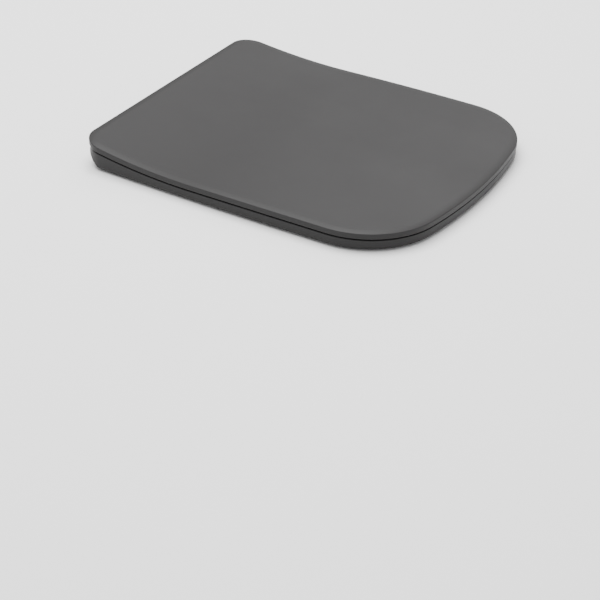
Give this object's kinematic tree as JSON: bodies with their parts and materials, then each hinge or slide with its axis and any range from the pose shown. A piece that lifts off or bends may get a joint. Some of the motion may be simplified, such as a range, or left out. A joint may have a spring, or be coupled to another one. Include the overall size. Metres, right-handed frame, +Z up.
{
  "type": "toilet seat with lid",
  "caption": "Slim D-shaped toilet seat with a matching lid, soft-close hinge barrel and a one-button release.",
  "frame": {"origin": "under the middle of the closed lid, on the plane that the seat's pads rest on", "axes": "+X across to the right, +Y to the rear, where the hinge is, +Z up"},
  "size_m": [0.366, 0.441, 0.0369],
  "materials": {
    "lid": "matte anthracite thermoset, very fine grain",
    "seat": "matte anthracite thermoset, very fine grain",
    "barrel": "satin dark grey moulding",
    "button": "satin dark grey moulding",
    "rubber": "soft dark grey elastomer",
    "damper_plastic": "natural acetal",
    "shaft_plastic": "glass-filled nylon",
    "bush_plastic": "natural acetal",
    "steel": "stainless steel"
  },
  "bodies": {
    "barrel": {"hinge_barrel": "barrel", "barrel_end_cap_left": "barrel", "damper_case_left": "damper_plastic", "damper_cap_left": "damper_plastic", "shaft_seal_left": "rubber", "pin_socket_left": "steel", "barrel_end_cap_right": "barrel", "damper_case_right": "damper_plastic", "damper_cap_right": "damper_plastic", "shaft_seal_right": "rubber", "pin_socket_right": "steel", "button_spring": "steel"},
    "seat": {"seat_ring": "seat", "seat_pad_front_left": "rubber", "seat_pad_front_right": "rubber", "seat_pad_rear_left": "rubber", "seat_pad_rear_right": "rubber", "seat_shaft": "shaft_plastic", "seat_bush": "bush_plastic"},
    "lid": {"lid_panel": "lid", "lid_buffer_front_left": "rubber", "lid_buffer_front_right": "rubber", "lid_buffer_rear_left": "rubber", "lid_buffer_rear_right": "rubber", "lid_shaft": "shaft_plastic", "lid_bush": "bush_plastic"},
    "button": {"release_button": "button"},
    "latch_left": {"latch_plate_left": "steel"},
    "latch_right": {"latch_plate_right": "steel"}
  },
  "joints": [
    {"name": "seat_hinge", "type": "hinge", "parent": "barrel", "child": "seat", "pos_m": [0, 0.2085, 0.01793], "axis": [-1, 0, 0], "range_deg": [0, 95]},
    {"name": "lid_hinge", "type": "hinge", "parent": "seat", "child": "lid", "pos_m": [0, 0.2085, 0.01793], "axis": [-1, 0, 0], "range_deg": [0, 100]},
    {"name": "button_press", "type": "slide", "parent": "barrel", "child": "button", "axis": [0, 0.9848, 0.1736], "range_m": [0, 0.002], "stiffness_N_per_m": 1500, "springref_m": -0.002, "deforming": ["button_spring"]},
    {"name": "latch_left_slide", "type": "slide", "parent": "barrel", "child": "latch_left", "axis": [-1, 0, 0], "range_m": [0, 0.002]},
    {"name": "latch_right_slide", "type": "slide", "parent": "barrel", "child": "latch_right", "axis": [1, 0, 0], "range_m": [0, 0.002]}
  ],
  "couplings": [
    {"joint": "latch_left_slide", "follows": "button_press", "ratio": 1},
    {"joint": "latch_right_slide", "follows": "button_press", "ratio": 1}
  ]
}
